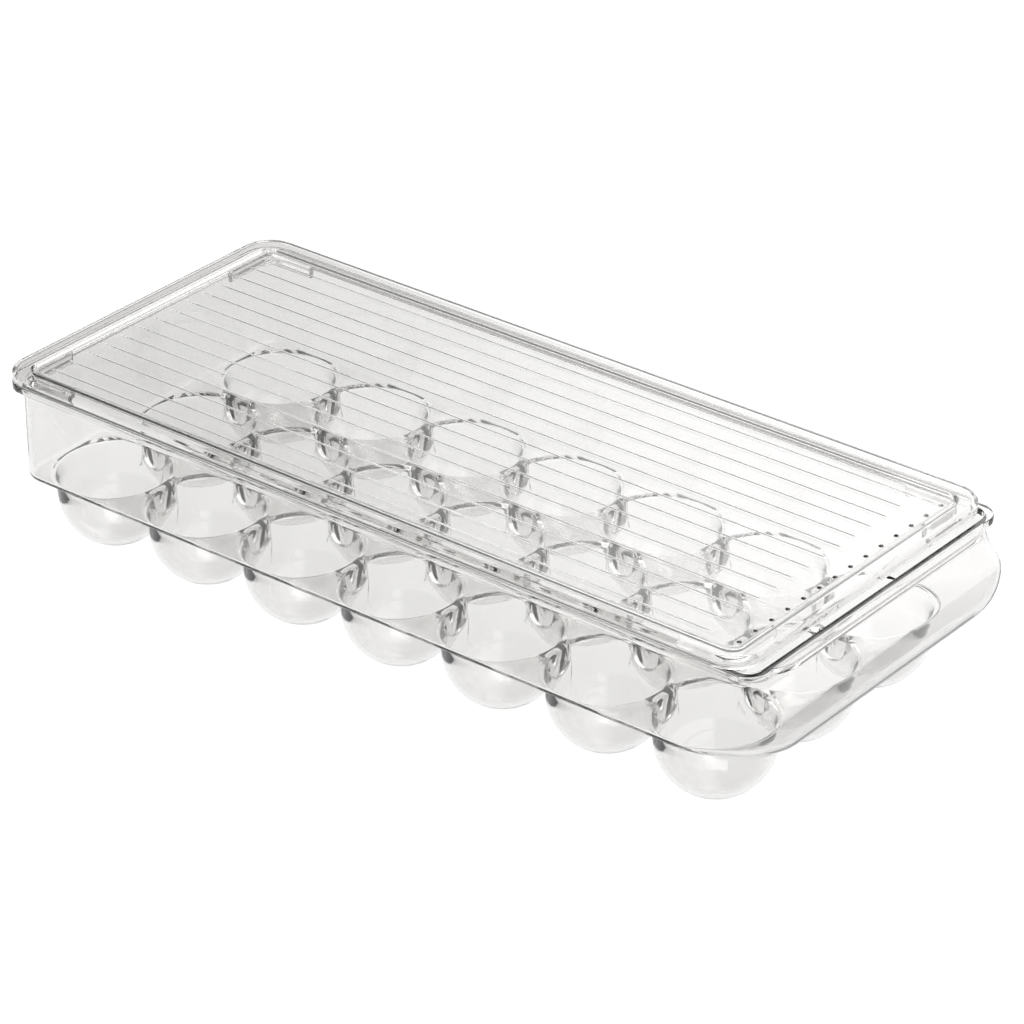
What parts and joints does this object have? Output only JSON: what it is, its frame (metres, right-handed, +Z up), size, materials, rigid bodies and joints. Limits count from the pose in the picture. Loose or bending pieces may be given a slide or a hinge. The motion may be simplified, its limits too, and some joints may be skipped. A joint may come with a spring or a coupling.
{
  "type": "egg holder tray",
  "caption": "Clear lidded egg tray with rows of round egg cups, straight walls, a rounded pull grip at one end and a ribbed lift-off lid.",
  "frame": {"origin": "on the surface the cups stand on, under the middle of the whole object", "axes": "+X towards the grip end, +Z up; the object is symmetric about the XZ plane"},
  "size_m": [0.377, 0.1602, 0.0777],
  "materials": {
    "tray_plastic": "clear, polished moulding",
    "lid_plastic": "clear, polished moulding"
  },
  "bodies": {
    "tray": {"egg_cup_1_1": "tray_plastic", "egg_cup_1_2": "tray_plastic", "egg_cup_1_3": "tray_plastic", "egg_cup_1_4": "tray_plastic", "egg_cup_1_5": "tray_plastic", "egg_cup_1_6": "tray_plastic", "egg_cup_1_7": "tray_plastic", "egg_cup_2_1": "tray_plastic", "egg_cup_2_2": "tray_plastic", "egg_cup_2_3": "tray_plastic", "egg_cup_2_4": "tray_plastic", "egg_cup_2_5": "tray_plastic", "egg_cup_2_6": "tray_plastic", "egg_cup_2_7": "tray_plastic", "egg_cup_3_1": "tray_plastic", "egg_cup_3_2": "tray_plastic", "egg_cup_3_3": "tray_plastic", "egg_cup_3_4": "tray_plastic", "egg_cup_3_5": "tray_plastic", "egg_cup_3_6": "tray_plastic", "egg_cup_3_7": "tray_plastic", "tray_front_wall": "tray_plastic", "tray_back_wall": "tray_plastic", "tray_end_wall": "tray_plastic", "tray_grip_wall": "tray_plastic", "tray_rim_and_lip": "tray_plastic"},
    "lid": {"lid_border": "lid_plastic", "lid_panel": "lid_plastic", "lid_locator_end_front": "lid_plastic", "lid_locator_end_back": "lid_plastic", "lid_locator_grip_front": "lid_plastic", "lid_locator_grip_back": "lid_plastic"}
  },
  "joints": [
    {"name": "lid_lift", "type": "slide", "parent": "tray", "child": "lid", "axis": [0, 0, 1], "range_m": [0, 0.08]}
  ]
}
